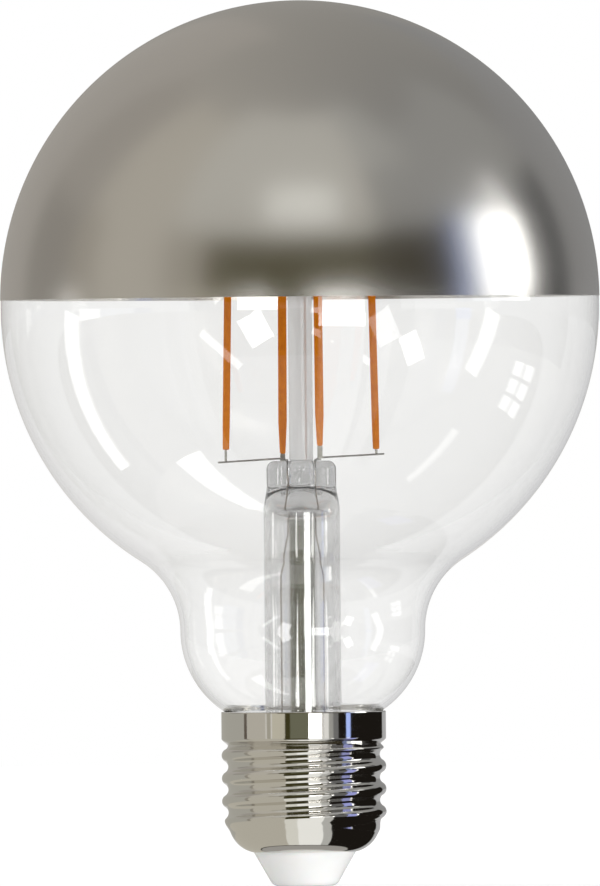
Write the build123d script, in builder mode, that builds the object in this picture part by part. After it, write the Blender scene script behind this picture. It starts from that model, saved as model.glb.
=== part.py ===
from build123d import *
from math import atan2, cos, degrees, hypot, radians, sin, sqrt
import os

# Globe filament lamp with a mirrored crown, an E27 screw cap and four filament strips.
# Millimetres, +Z up along the lamp's axis, origin at the centre of the contact's face.
# The front of the lamp faces -Y. Sections are drawn as radius (x) and height (y).

# Screw cap, from the contact upwards
contact_r = 3.0
contact_h = 1.0
contact_edge_r = 0.4
shank_r = 1.0
shank_proud = 1.0
insulator_h = 5.4
insulator_foot_r = 5.0
insulator_edge_r = 0.9
insulator_flange_h = 2.4
insulator_flange_in = 1.8
lip_r = 8.2
lip_gap = 0.1
seat_gap = 0.03
cap_sheet = 0.3
shoulder_r = 4.9
thread_crest_r = 13.02
thread_root_r = 12.0
thread_pitch = 3.629
thread_h = 12.8
thread_flat = 0.03
collar_over_crest = 0.03
collar_h = 4.7
collar_edge_r = 0.45
run_out_r = 0.4

# Glass envelope and mirror coat
globe_r = 47.4
belt_h = 1.3
glass_t = 0.8
neck_r = 19.4
waist_r = 13.2
bulge_r = 15.3
throat_r = 3.0
throat_in_collar = 2.46
seal_r = 11.2
seal_h = 7.7
coat_t = 0.1
coat_above_belt = 0.3

# Glass stem: flare tube, pinched press, exhaust tube and centre rod
flare_r = 6.05
flare_t = 1.0
flare_bend_r = 4.0
stem_h = 47.4
pinch_h = 4.0
press_h = 4.9
press_w = 11.0
press_t = 2.6
crease_t = 0.6
lobe_r = 1.5
lobe_in = 0.05
boss_r = 2.35
boss_drop = 0.5
exhaust_r = 2.0
exhaust_bore_r = 1.2
exhaust_below_seal = 4.0
exhaust_in_press = 0.8
blow_hole_r = 1.75
blow_hole_x = -0.4
blow_hole_y = -1.2
rod_r = 1.9
rod_in_press = 1.1
bead_r = 2.5
bead_h = 4.2

# Wires in the globe
wire_r = 0.14
lead_x = 2.2
lead_bend_r = 0.9
arm_over_press = 0.45
arm_past_strip = 1.3
arm_drop_left_outer = 0.6
arm_drop_left_inner = 0.5
arm_drop_right_outer = -0.5
arm_drop_right_inner = -0.1
tail_x = 3.4
tail_jog_h = 6.0
tail_bend_r = 3.0

# Filament strips: four on a ring, leaning in towards the top
strip_w = 1.27
strip_t = 1.0
strip_l = 38.0
strip_edge_r = 0.3
ring_r = 12.26
ring_turn = 13.9
ring_lean = 0.78
strip_rise_left_outer = 1.8
strip_rise_left_inner = 1.25
strip_rise_right_outer = 0.7
strip_rise_right_inner = 2.0
terminal_w = 0.8
terminal_t = 0.2
bridge_above_strip = 3.6
bridge_step = 0.8
bridge_past_strip = 1.0

# Driver board and its parts, between the insulator and the glass seal
board_gap = 0.3
board_t = 1.0
board_above_flange = 4.2
capacitor_r = 2.5
capacitor_l = 9.0
capacitor_y = -6.3
capacitor_edge_r = 0.4
film_box = (7.0, 2.5, 5.5)
film_y = 5.8
choke_r = 2.7
choke_h = 5.0
choke_waist_r = 1.9
choke_rim_h = 0.9
choke_x = -7.2
resistor_r = 1.2
resistor_l = 6.0
resistor_x = 7.3
bridge_box = (4.7, 3.9, 2.5)
bridge_x = 5.0
driver_box = (4.9, 3.9, 1.5)
driver_x = -5.0
solder_r = 0.9
solder_h = 0.8
cable_r = 0.5
cable_bend_r = 0.8
neutral_y = -8.5
neutral_gap = 0.2

# Each strip: name, quarter of the ring, its height over the wire, the wire's fall to its end
strips = [
    ("left_outer", 2, strip_rise_left_outer, arm_drop_left_outer),
    ("right_inner", 3, strip_rise_right_inner, arm_drop_right_inner),
    ("right_outer", 0, strip_rise_right_outer, arm_drop_right_outer),
    ("left_inner", 1, strip_rise_left_inner, arm_drop_left_inner),
]

# Heights that follow from the values above
insulator_z = contact_h
lip_z = insulator_z + insulator_h
core_r = thread_root_r + thread_flat
shoulder_x = core_r - shoulder_r
shoulder_z = lip_z + sqrt(shoulder_r**2 - (lip_r - shoulder_x) ** 2)
collar_r = thread_crest_r + collar_over_crest
collar_z = shoulder_z + thread_h
cap_top = collar_z + collar_h
flange_top = lip_z + insulator_flange_h
seal_z = cap_top - seal_h
bulge_x = neck_r - bulge_r
throat_x = seal_r + throat_r
throat_z = cap_top - throat_in_collar
waist_z = throat_z + sqrt((bulge_r + throat_r) ** 2 - (throat_x - bulge_x) ** 2)
globe_z = waist_z + sqrt((globe_r + waist_r) ** 2 - (neck_r + waist_r) ** 2)
dome_z = globe_z + belt_h
press_top = seal_z + stem_h
press_z = press_top - press_h
past_all = 3 * seal_r
pinch_z = press_z - pinch_h
board_z = flange_top + board_above_flange
board_top = board_z + board_t
board_r = core_r - cap_sheet - board_gap
strip_z = press_top + arm_over_press

os.makedirs("parts", exist_ok=True)


def keep(part, name):
    """Label a finished piece and write it under the same name."""
    part.label = name
    export_step(part, f"parts/{name}.step")


def angle_to(start, end):
    """Angle in degrees of the line from start to end in a section."""
    return degrees(atan2(end[1] - start[1], end[0] - start[0]))


# Glass envelope


def globe_outline(inset):
    """Half section of the glass, moved inwards by inset, from the seal up to the pole."""
    throat = (throat_x, throat_z)
    bulge = (bulge_x, waist_z)
    waist = (neck_r + waist_r, waist_z)
    globe = (0, globe_z)
    into_bulge = angle_to(throat, bulge)
    into_globe = angle_to(waist, globe)
    size = globe_r - inset
    Line((seal_r - inset, seal_z), (seal_r - inset, throat_z))
    CenterArc(throat, throat_r + inset, 180, into_bulge - 180)
    CenterArc(bulge, bulge_r - inset, into_bulge - 180, 180 - into_bulge)
    CenterArc(waist, waist_r + inset, 180, into_globe - 180)
    CenterArc(globe, size, into_globe - 180, 180 - into_globe)
    Line((size, globe_z), (size, dome_z))
    CenterArc((0, dome_z), size, 0, 90)


with BuildPart() as glass_envelope:
    with BuildSketch(Plane.XZ):
        with BuildLine():
            globe_outline(0)
            globe_outline(glass_t)
            Line((seal_r - glass_t, seal_z), (seal_r, seal_z))
            Line((0, dome_z + globe_r - glass_t), (0, dome_z + globe_r))
        make_face()
    revolve(axis=Axis.Z)
keep(glass_envelope.part, "glass_envelope")

# The silvering is a thin skin on the outside of the crown
with BuildPart() as mirror_coating:
    edge_angle = degrees(coat_above_belt / globe_r)
    with BuildSketch(Plane.XZ):
        with BuildLine():
            inner = CenterArc((0, dome_z), globe_r, edge_angle, 90 - edge_angle)
            outer = CenterArc((0, dome_z), globe_r + coat_t, edge_angle, 90 - edge_angle)
            Line(inner @ 0, outer @ 0)
            Line(inner @ 1, outer @ 1)
        make_face()
    revolve(axis=Axis.Z)
keep(mirror_coating.part, "mirror_coating")


# Screw cap


def threaded_form(inset):
    """The cap as a solid of revolution with its thread, moved inwards by inset."""
    rise = collar_z + inset
    top = cap_top + inset
    arc_r = shoulder_r - inset
    arc_z = shoulder_z - sqrt(arc_r**2 - (lip_r - shoulder_x) ** 2)
    thread_half = thread_pitch / 2
    depth = thread_crest_r - thread_root_r
    round_r = (thread_half**2 + depth**2) / (4 * depth)
    crest = (thread_crest_r - round_r, 0)
    root = (thread_root_r + round_r, thread_half)
    foot_r = core_r - inset - thread_flat / 2
    foot_half = thread_half - sqrt((round_r + inset) ** 2 - (root[0] - foot_r) ** 2)
    bury_r = foot_r - cap_sheet
    into_root = angle_to(crest, root)
    from_crest = into_root + 180
    from_foot = angle_to(root, (foot_r, foot_half)) + 360
    run_out = shoulder_z - thread_half
    helix_z = run_out - cap_sheet
    helix_h = collar_z + thread_pitch - helix_z

    with BuildPart() as ridge:
        with BuildLine() as path:
            Helix(thread_pitch, helix_h, thread_root_r, center=(0, 0, helix_z))
        with BuildSketch(Plane((0, 0, helix_z), x_dir=(1, 0, 0), z_dir=(0, -1, 0))):
            with BuildLine():
                CenterArc(crest, round_r - inset, -into_root, 2 * into_root)
                above = CenterArc(root, round_r + inset, from_crest, from_foot - from_crest)
                mirror(above, about=Plane.XZ)
                Polyline(above @ 1, (bury_r, foot_half), (bury_r, -foot_half), (foot_r, -foot_half))
            make_face()
        sweep(path=path.line, is_frenet=True)
        with BuildSketch(Plane.XZ, mode=Mode.PRIVATE) as fade:
            with BuildLine():
                Polyline(
                    (0, run_out),
                    (core_r - inset - depth / 2, run_out),
                    (collar_r + run_out_r - inset, shoulder_z + thread_half),
                    (collar_r + run_out_r - inset, top - inset),
                    (0, top - inset),
                    close=True,
                )
            make_face()
        revolve(fade.sketch, axis=Axis.Z, mode=Mode.INTERSECT)

    with BuildPart() as form:
        with BuildSketch(Plane.XZ):
            with BuildLine():
                curl = CenterArc(
                    (shoulder_x, shoulder_z),
                    arc_r,
                    0,
                    angle_to((shoulder_x, shoulder_z), (lip_r, arc_z)),
                )
                Polyline(
                    curl @ 0,
                    (core_r - inset, rise),
                    (collar_r - inset, rise),
                    (collar_r - inset, top),
                    (0, top),
                    (0, arc_z),
                    curl @ 1,
                )
            make_face()
        revolve(axis=Axis.Z)
        if inset == 0:
            brim = form.edges().filter_by(GeomType.CIRCLE)
            brim = brim.filter_by(lambda edge: abs(edge.radius - collar_r) < 0.001)
            fillet(brim.sort_by(Axis.Z)[0], collar_edge_r)
        add(ridge.part)
    return form.part


cap_outside = threaded_form(0)
cap_inside = threaded_form(cap_sheet)
with BuildPart() as cap_shell:
    add(cap_outside)
    add(cap_inside, mode=Mode.SUBTRACT)
    with BuildSketch(Plane.XY):
        Circle(lip_r)
    extrude(amount=shoulder_z, mode=Mode.SUBTRACT)
keep(cap_shell.part, "cap_shell")

# The insulator is snapped in from inside: its flange follows the shell's rounded end
with BuildPart() as cap_insulator:
    flange_arc_r = shoulder_r - cap_sheet - seat_gap
    flange_r = core_r - insulator_flange_in
    throat_in = lip_r - lip_gap
    low_z = shoulder_z - sqrt(flange_arc_r**2 - (throat_in - shoulder_x) ** 2)
    high_z = shoulder_z - sqrt(flange_arc_r**2 - (flange_r - shoulder_x) ** 2)
    mid_r = (throat_in + flange_r) / 2
    mid_z = shoulder_z - sqrt(flange_arc_r**2 - (mid_r - shoulder_x) ** 2)
    with BuildSketch(Plane.XZ) as section:
        with BuildLine():
            Polyline((shank_r, flange_top), (shank_r, insulator_z), (insulator_foot_r, insulator_z))
            Polyline((insulator_foot_r, insulator_z), (throat_in, lip_z), (throat_in, low_z))
            ThreePointArc((throat_in, low_z), (mid_r, mid_z), (flange_r, high_z))
            Polyline((flange_r, high_z), (flange_r, flange_top), (shank_r, flange_top))
        make_face()
        foot = section.vertices().sort_by_distance((insulator_foot_r, 0, insulator_z))[0]
        fillet(foot, insulator_edge_r)
    revolve(axis=Axis.Z)
keep(cap_insulator.part, "cap_insulator")

# The contact is a rivet: a flat head below, its shank up through the insulator
with BuildPart() as centre_contact:
    with BuildSketch(Plane.XY):
        Circle(contact_r)
    extrude(amount=contact_h)
    fillet(centre_contact.edges().sort_by(Axis.Z)[0], contact_edge_r)
    with BuildSketch(Plane.XY.offset(contact_h)):
        Circle(shank_r)
    extrude(amount=flange_top + shank_proud - contact_h)
keep(centre_contact.part, "centre_contact")

# A ring of cement holds the glass neck in the collar
with BuildPart() as basing_cement:
    with BuildSketch(Plane.XY.offset(collar_z + cap_sheet)):
        Circle(collar_r - cap_sheet)
        Circle(seal_r, mode=Mode.SUBTRACT)
    extrude(amount=throat_z - collar_z - cap_sheet)
keep(basing_cement.part, "basing_cement")


# Glass stem


def pinch_section(plane, foot_half, web_half, top, corner):
    """The squeezed outline: open below the pinch, narrowing to the web, bevelled on top."""
    below = seal_z - flare_bend_r
    with BuildSketch(plane) as section:
        with BuildLine():
            for side in (-1, 1):
                foot = (side * foot_half, pinch_z)
                Polyline((0, below), (side * past_all, below), (side * past_all, pinch_z), foot)
                Spline(foot, (side * web_half, press_z), tangents=((0, 1), (0, 1)))
                Polyline((side * web_half, press_z), (side * web_half, top), (0, top))
        make_face()
        on_top = section.vertices().filter_by(lambda v: abs(v.Y - top) < 0.001)
        fillet(on_top.filter_by(lambda v: abs(v.X) > web_half / 2), corner)
    return section.sketch


def flare_section(outer_r, bend_r, below, top):
    """Half section of a flare tube as a solid: straight above, turned outwards at its foot."""
    bend_x = flare_r + flare_bend_r
    bend_z = seal_z + flare_bend_r + flare_t
    rim_r = seal_r - glass_t
    with BuildSketch(Plane.XZ) as section:
        with BuildLine():
            turned = CenterArc((bend_x, bend_z), bend_r, 180, 90)
            Polyline(turned @ 0, (outer_r, top), (0, top), (0, below))
            Polyline((0, below), (rim_r, below), (rim_r, bend_z - bend_r), turned @ 1)
        make_face()
    return section.sketch


with BuildPart() as stem_hollow:
    bore_r = flare_r - flare_t
    revolve(flare_section(bore_r, flare_bend_r + flare_t, seal_z - flare_t, press_z), axis=Axis.Z)
    crease = crease_t / 2
    hollow_outline = pinch_section(Plane.YZ, bore_r + crease, crease, press_z + flare_t, crease / 2)
    extrude(hollow_outline, amount=past_all, both=True, mode=Mode.INTERSECT)

with BuildPart() as glass_stem:
    revolve(flare_section(flare_r, flare_bend_r, seal_z, press_top), axis=Axis.Z)
    side_outline = pinch_section(Plane.YZ, flare_r + flare_t, press_t / 2, press_top, press_t / 4)
    extrude(side_outline, amount=past_all, both=True, mode=Mode.INTERSECT)
    lobe_x = press_w / 2 - lobe_r - lobe_in
    with BuildSketch(Plane.XY.offset(press_z - lobe_r)):
        with Locations((-lobe_x, 0), (lobe_x, 0)):
            Circle(lobe_r)
        Circle(boss_r)
    extrude(amount=press_h + lobe_r)
    front_outline = pinch_section(Plane.XZ, flare_r + flare_t, press_w / 2, press_top, lobe_r)
    extrude(front_outline, amount=past_all, both=True, mode=Mode.INTERSECT)
    with BuildSketch(Plane.XY.offset(press_top - boss_drop)):
        Rectangle(2 * lead_x + 4 * wire_r, 3 * boss_r)
    extrude(amount=boss_drop, mode=Mode.SUBTRACT)
    add(stem_hollow.part, mode=Mode.SUBTRACT)
    with BuildSketch(Plane.XY.offset(press_top - boss_drop - rod_in_press)):
        Circle(rod_r)
    extrude(amount=press_h, mode=Mode.SUBTRACT)
    with BuildSketch(Plane.XY.offset(seal_z)):
        Circle(exhaust_r)
    extrude(amount=press_z + exhaust_in_press - seal_z, mode=Mode.SUBTRACT)
    with Locations((blow_hole_x, blow_hole_y, press_z + exhaust_in_press + blow_hole_r / 2)):
        Sphere(blow_hole_r, mode=Mode.SUBTRACT)
    with BuildSketch(Plane.XY.offset(pinch_z)):
        with Locations((-lead_x, 0), (lead_x, 0)):
            Circle(wire_r)
    extrude(amount=stem_h, mode=Mode.SUBTRACT)
keep(glass_stem.part, "glass_stem")

# The exhaust tube ends in a tip where it was sealed off under the stem
with BuildPart() as exhaust_tube:
    tip_z = seal_z - exhaust_below_seal
    with BuildSketch(Plane.XY.offset(tip_z)):
        Circle(exhaust_r)
    extrude(amount=press_z + exhaust_in_press - tip_z)
    fillet(exhaust_tube.edges().sort_by(Axis.Z)[0], exhaust_bore_r)
    with BuildSketch(Plane.XY.offset(tip_z + exhaust_r)):
        Circle(exhaust_bore_r)
    extrude(amount=press_z + exhaust_in_press - tip_z, mode=Mode.SUBTRACT)
keep(exhaust_tube.part, "exhaust_tube")

# The centre rod carries a bead of glass that holds the bridge wires
bridge_z = strip_z + strip_l + bridge_above_strip
rod_z = press_top - boss_drop - rod_in_press
bead_z = bridge_z - bead_h / 2 + bridge_step / 2


def spoke(angle, inner, outer, z):
    """Two points on one line out from the axis, at a given height."""
    return [(reach * cos(radians(angle)), reach * sin(radians(angle)), z) for reach in (inner, outer)]


def round_wire(points, bends, size):
    """A round wire along straight runs joined by bends."""
    with BuildPart() as wire:
        with BuildLine() as route:
            if len(points) == 2:
                Line(points[0], points[1])
            else:
                FilletPolyline(*points, radius=bends)
        with BuildSketch(Plane(origin=route.line @ 0, z_dir=route.line % 0)):
            Circle(size)
        sweep()
    return wire.part


bridge_wires = []
for step in range(2):
    turn = ring_turn + 90 * step
    reach = ring_r + bridge_past_strip
    ends = [spoke(turn + half, 0, reach, bridge_z + step * bridge_step)[1] for half in (180, 0)]
    bridge_wires.append(round_wire(ends, 0, wire_r))
    keep(bridge_wires[step], f"bridge_wire_{step + 1}")

with BuildPart() as centre_rod:
    with BuildSketch(Plane.XY.offset(rod_z)):
        Circle(rod_r)
    extrude(amount=bead_z - rod_z)
    with BuildSketch(Plane.XY.offset(bead_z)):
        Circle(bead_r)
    extrude(amount=bead_h)
    fillet(centre_rod.faces().sort_by(Axis.Z)[-1].edges(), bead_r / 2)
    for bridge_wire in bridge_wires:
        add(bridge_wire, mode=Mode.SUBTRACT)
keep(centre_rod.part, "centre_rod")

# Filament strips with their terminals, and the wires that carry them
for name, quarter, rise, drop in strips:
    turn = ring_turn + 90 * quarter
    side = -1 if "left" in name else 1
    first = "outer" in name
    step = quarter % 2
    corner_y = 0 if first else 2 * wire_r * (1 if quarter == 1 else -1)
    corner = (side * lead_x, corner_y, strip_z - (0 if first else 2 * wire_r))
    foot = spoke(turn, 0, ring_r, corner[2])[1]
    run = hypot(foot[0] - corner[0], foot[1] - corner[1])
    past = 1 + arm_past_strip / run
    end = (
        corner[0] + (foot[0] - corner[0]) * past,
        corner[1] + (foot[1] - corner[1]) * past,
        corner[2] - drop,
    )
    weld_z = corner[2] - drop / past + wire_r
    low = press_top - boss_drop - rod_in_press if first else press_top - boss_drop
    arm = round_wire([(corner[0], corner[1], low), corner, end], lead_bend_r if first else wire_r * 2, wire_r)
    keep(arm, f"support_wire_{name}")

    start_z = weld_z + rise
    lean = ring_lean / strip_l
    axis_dir = Vector(-lean * cos(radians(turn)), -lean * sin(radians(turn)), 1)
    tangent = (-sin(radians(turn)), cos(radians(turn)), 0)
    base = Vector(*spoke(turn, 0, ring_r, start_z)[1])
    strip_plane = Plane(origin=base, x_dir=tangent, z_dir=axis_dir)
    with BuildPart() as strip:
        with BuildSketch(strip_plane):
            RectangleRounded(strip_w, strip_t, strip_edge_r)
        extrude(amount=strip_l)
    keep(strip.part, f"filament_{name}")

    wire_z = bridge_z + step * bridge_step - wire_r
    ends = {"lower_terminal": (weld_z, start_z), "upper_terminal": (start_z + strip_l, wire_z)}
    for part_name, (z_from, z_to) in ends.items():
        at_r = ring_r - lean * (z_from - start_z)
        with BuildPart() as terminal:
            with BuildSketch(Plane.XY.offset(z_from)):
                with Locations(Location(spoke(turn, 0, at_r, 0)[1], turn)):
                    Rectangle(terminal_t, terminal_w)
            extrude(amount=z_to - z_from)
        keep(terminal.part, f"{part_name}_{name}")

# Below each lead's top, a seal wire in the press and a tail down to the board
for name, side in (("left", -1), ("right", 1)):
    seal_end = press_z - crease_t
    seal_wire = round_wire([(side * lead_x, 0, rod_z), (side * lead_x, 0, seal_end)], 0, wire_r)
    keep(seal_wire, f"seal_wire_{name}")
    tail = [
        (side * lead_x, 0, seal_end),
        (side * lead_x, 0, seal_end - tail_jog_h),
        (side * tail_x, 0, seal_end - 2 * tail_jog_h),
        (side * tail_x, 0, board_top),
    ]
    keep(round_wire(tail, tail_bend_r, wire_r), f"tail_wire_{name}")
    with BuildPart() as solder_joint:
        with Locations((side * tail_x, 0, board_top)):
            Cone(solder_r, 2 * wire_r, solder_h, align=(Align.CENTER, Align.CENTER, Align.MIN))
        with BuildSketch(Plane.XY.offset(board_top)):
            with Locations((side * tail_x, 0)):
                Circle(wire_r)
        extrude(amount=solder_h, mode=Mode.SUBTRACT)
    keep(solder_joint.part, f"solder_joint_{name}")

# Driver

with BuildPart() as driver_board:
    with BuildSketch(Plane.XY.offset(board_z)):
        Circle(board_r)
    extrude(amount=board_t)
keep(driver_board.part, "driver_board")

with BuildPart() as smoothing_capacitor:
    with BuildSketch(Plane.YZ):
        with Locations((capacitor_y, board_top + capacitor_r)):
            Circle(capacitor_r)
    extrude(amount=capacitor_l / 2, both=True)
    fillet(smoothing_capacitor.edges().filter_by(GeomType.CIRCLE), capacitor_edge_r)
keep(smoothing_capacitor.part, "smoothing_capacitor")

with BuildPart() as film_capacitor:
    with Locations((0, film_y, board_top)):
        Box(*film_box, align=(Align.CENTER, Align.CENTER, Align.MIN))
    fillet(film_capacitor.edges().filter_by(Axis.Z), film_box[1] / 5)
keep(film_capacitor.part, "film_capacitor")

# The choke is wound on a drum: two rims with a waist of wire between them
with BuildPart() as choke:
    with BuildSketch(Plane.XY.offset(board_top)):
        with Locations((choke_x, 0)):
            Circle(choke_r)
    extrude(amount=choke_rim_h)
    with BuildSketch(Plane.XY.offset(board_top + choke_rim_h)):
        with Locations((choke_x, 0)):
            Circle(choke_waist_r)
    extrude(amount=choke_h - 2 * choke_rim_h)
    with BuildSketch(Plane.XY.offset(board_top + choke_h - choke_rim_h)):
        with Locations((choke_x, 0)):
            Circle(choke_r)
    extrude(amount=choke_rim_h)
keep(choke.part, "choke")

with BuildPart() as fusible_resistor:
    with BuildSketch(Plane.XZ):
        with Locations((resistor_x, board_top + resistor_r)):
            Circle(resistor_r)
    extrude(amount=resistor_l / 2, both=True)
    fillet(fusible_resistor.edges().filter_by(GeomType.CIRCLE), resistor_r / 3)
keep(fusible_resistor.part, "fusible_resistor")

chips = (("bridge_rectifier", bridge_box, bridge_x), ("driver_chip", driver_box, driver_x))
for name, size, place in chips:
    with BuildPart() as chip:
        with Locations((place, 0, board_z)):
            Box(*size, align=(Align.CENTER, Align.CENTER, Align.MAX))
        chamfer(chip.faces().sort_by(Axis.Z)[0].edges(), size[2] / 8)
    keep(chip.part, name)

live_wire = round_wire([(0, 0, flange_top + shank_proud), (0, 0, board_z)], 0, cable_r)
keep(live_wire, "live_wire")

neutral = [
    (0, neutral_y, board_z),
    (0, neutral_y, board_z - 2 * cable_bend_r),
    (0, neutral_gap + cap_sheet - core_r, board_z - 3 * cable_bend_r),
]
keep(round_wire(neutral, cable_bend_r, cable_r), "neutral_wire")

overall = dome_z + globe_r + coat_t
print(f"overall height {overall:.2f}, globe diameter {2 * (globe_r + coat_t):.2f}")
print(f"light centre {globe_z:.2f}, waist {waist_z:.2f}, cap top {cap_top:.2f}, press top {press_top:.2f}")
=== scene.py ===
# %% [markdown]
# Globe filament lamp with a mirrored crown
#
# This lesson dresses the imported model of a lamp: a blown glass globe, silvered on its upper half,
# with four filament strips on a glass stem and a rolled metal screw cap. The model comes in as a
# fixed frame in metres, with Z up along the lamp's axis and the origin under the bottom contact.
# Nearly everything on a lamp is turned, blown or drawn round one axis, so most pieces here are an
# outline that is drawn once and spun.

# %% Load the frame
from math import atan2, cos, degrees, hypot, pi, radians, sin, sqrt

import bmesh
import bpy
from mathutils import Matrix, Vector


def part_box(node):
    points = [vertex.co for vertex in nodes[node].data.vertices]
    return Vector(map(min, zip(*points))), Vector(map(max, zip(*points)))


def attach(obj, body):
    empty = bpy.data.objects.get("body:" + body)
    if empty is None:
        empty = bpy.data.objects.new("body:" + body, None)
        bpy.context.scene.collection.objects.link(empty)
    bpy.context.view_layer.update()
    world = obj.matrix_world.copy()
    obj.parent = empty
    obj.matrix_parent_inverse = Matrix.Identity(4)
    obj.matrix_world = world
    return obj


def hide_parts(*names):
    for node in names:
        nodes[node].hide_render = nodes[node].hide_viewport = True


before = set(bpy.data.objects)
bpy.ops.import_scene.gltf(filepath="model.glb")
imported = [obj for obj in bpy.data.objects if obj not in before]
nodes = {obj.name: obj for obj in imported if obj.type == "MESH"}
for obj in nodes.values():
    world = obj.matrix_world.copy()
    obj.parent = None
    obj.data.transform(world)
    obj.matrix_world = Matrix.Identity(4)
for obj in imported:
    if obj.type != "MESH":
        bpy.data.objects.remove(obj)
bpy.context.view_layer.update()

# %% [markdown]
# The camera stands level with the middle of the lamp and four metres away, because the photograph
# has almost no perspective: the crown's lower edge is a straight line. The lens is worked out from
# the height that the picture takes in at the lamp's axis. The lamp leans half a degree in the
# picture, so the camera is rolled the other way and the lamp itself stays upright.

# %% Camera
MM = 0.001
picture_height = 140.41 * MM
camera_distance = 4.0
camera_height = 71.2 * MM
camera_aside = -0.17 * MM
camera_roll = 0.52
camera_data = bpy.data.cameras.new("camera")
camera_data.sensor_width = 36
camera_data.lens = camera_data.sensor_width * camera_distance / picture_height
camera = bpy.data.objects.new("camera", camera_data)
camera.location = (camera_aside, -camera_distance, camera_height)
camera.rotation_euler = (radians(90), radians(camera_roll), 0)
bpy.context.collection.objects.link(camera)
bpy.context.scene.camera = camera
print(f"lens {camera_data.lens:.0f} mm")

# %% [markdown]
# The studio is white all round. The camera, and every ray that has only been through glass, sees it
# at a strength of one, which is plain white. Matt surfaces are lit a little less, so that white
# plastic keeps its shading, and a ray that has been mirrored sees a light grey, because a real
# studio is a room and only its backdrop is white. A world does this better than lamps here, because
# the light has to come through the glass globe to reach the strips, and a lamp's shadow rays stop
# at glass.

# %% World
matt_level = 0.88
mirrored_level = 0.8
world = bpy.data.worlds.new("studio")
bpy.context.scene.world = world
world.use_nodes = True
sky = world.node_tree.nodes
sky_links = world.node_tree.links
path = sky.new("ShaderNodeLightPath")
seen = sky.new("ShaderNodeMath")
seen.operation = "ADD"
sky_links.new(path.outputs["Is Camera Ray"], seen.inputs[0])
sky_links.new(path.outputs["Is Glossy Ray"], seen.inputs[1])
shown = sky.new("ShaderNodeMath")
shown.operation = "ADD"
sky_links.new(seen.outputs[0], shown.inputs[0])
sky_links.new(path.outputs["Is Transmission Ray"], shown.inputs[1])
level = sky.new("ShaderNodeMapRange")
level.inputs["To Min"].default_value = matt_level
level.inputs["To Max"].default_value = 1.0
sky_links.new(shown.outputs[0], level.inputs["Value"])
mirrored = sky.new("ShaderNodeMapRange")
mirrored.inputs["To Min"].default_value = 1.0
mirrored.inputs["To Max"].default_value = mirrored_level
sky_links.new(path.outputs["Glossy Depth"], mirrored.inputs["Value"])
strength = sky.new("ShaderNodeMath")
strength.operation = "MULTIPLY"
sky_links.new(level.outputs["Result"], strength.inputs[0])
sky_links.new(mirrored.outputs["Result"], strength.inputs[1])
sky["Background"].inputs["Color"].default_value = (1, 1, 1, 1)
sky_links.new(strength.outputs[0], sky["Background"].inputs["Strength"])
bpy.context.scene.view_settings.view_transform = "Standard"
bpy.context.scene.cycles.max_bounces = 40
bpy.context.scene.cycles.transmission_bounces = 36
bpy.context.scene.cycles.glossy_bounces = 12
print("world is white, matt surfaces get", matt_level, "and mirrors", mirrored_level)

# %% [markdown]
# Glass and metal show only what stands round them, so the look of this lamp is mostly its studio.
# Each card below is a curved sheet on a ring round the lamp, like the paper sweeps and flags of a
# product photographer. A card is made the way a sweep bends: one point is spun up into an arc, and
# the arc is spun round the lamp. Azimuth 0 is towards the camera and 90 to its right. A ray that is
# mirrored inside the globe has to leave through glass, and there the lights still show but the walls
# don't, or they would darken the rim of the globe. So the material of a card asks for the glossy
# depth: it shines once a ray has been mirrored, and lets the straight view through the globe run on
# to the white world.

# %% Card maker
CENTRE = Vector((0, 0, 90 * MM))
ARC_STEP = radians(6)
RING_STEP = radians(4)


def only_in_gloss(tree, direct, mirrored):
    """Show one shader straight on and the other after at least one mirrored bounce."""
    path = tree.nodes.new("ShaderNodeLightPath")
    limit = tree.nodes.new("ShaderNodeMath")
    limit.operation = "MINIMUM"
    limit.inputs[1].default_value = 1.0
    choice = tree.nodes.new("ShaderNodeMixShader")
    tree.links.new(path.outputs["Glossy Depth"], limit.inputs[0])
    tree.links.new(limit.outputs[0], choice.inputs[0])
    tree.links.new(direct.outputs[0], choice.inputs[1])
    tree.links.new(mirrored.outputs[0], choice.inputs[2])
    tree.links.new(choice.outputs[0], tree.nodes["Material Output"].inputs["Surface"])


def glow(name, colour, strength=1.0):
    """A material for the cards: it shines in reflections and lets every other ray by."""
    material = bpy.data.materials.new(name)
    material.use_nodes = True
    tree = material.node_tree
    tree.nodes.remove(tree.nodes["Principled BSDF"])
    shine = tree.nodes.new("ShaderNodeEmission")
    shine.inputs["Color"].default_value = (*colour, 1)
    shine.inputs["Strength"].default_value = strength
    only_in_gloss(tree, tree.nodes.new("ShaderNodeBsdfTransparent"), shine)
    return material


def hang(name, form, material, through_glass):
    """Turn a form into a sheet that only reflections see."""
    mesh = bpy.data.meshes.new(name)
    form.to_mesh(mesh)
    form.free()
    mesh.materials.append(material)
    sheet = bpy.data.objects.new(name, mesh)
    bpy.context.collection.objects.link(sheet)
    sheet.visible_camera = False
    sheet.visible_diffuse = False
    sheet.visible_shadow = False
    sheet.visible_transmission = through_glass
    return sheet


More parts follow.
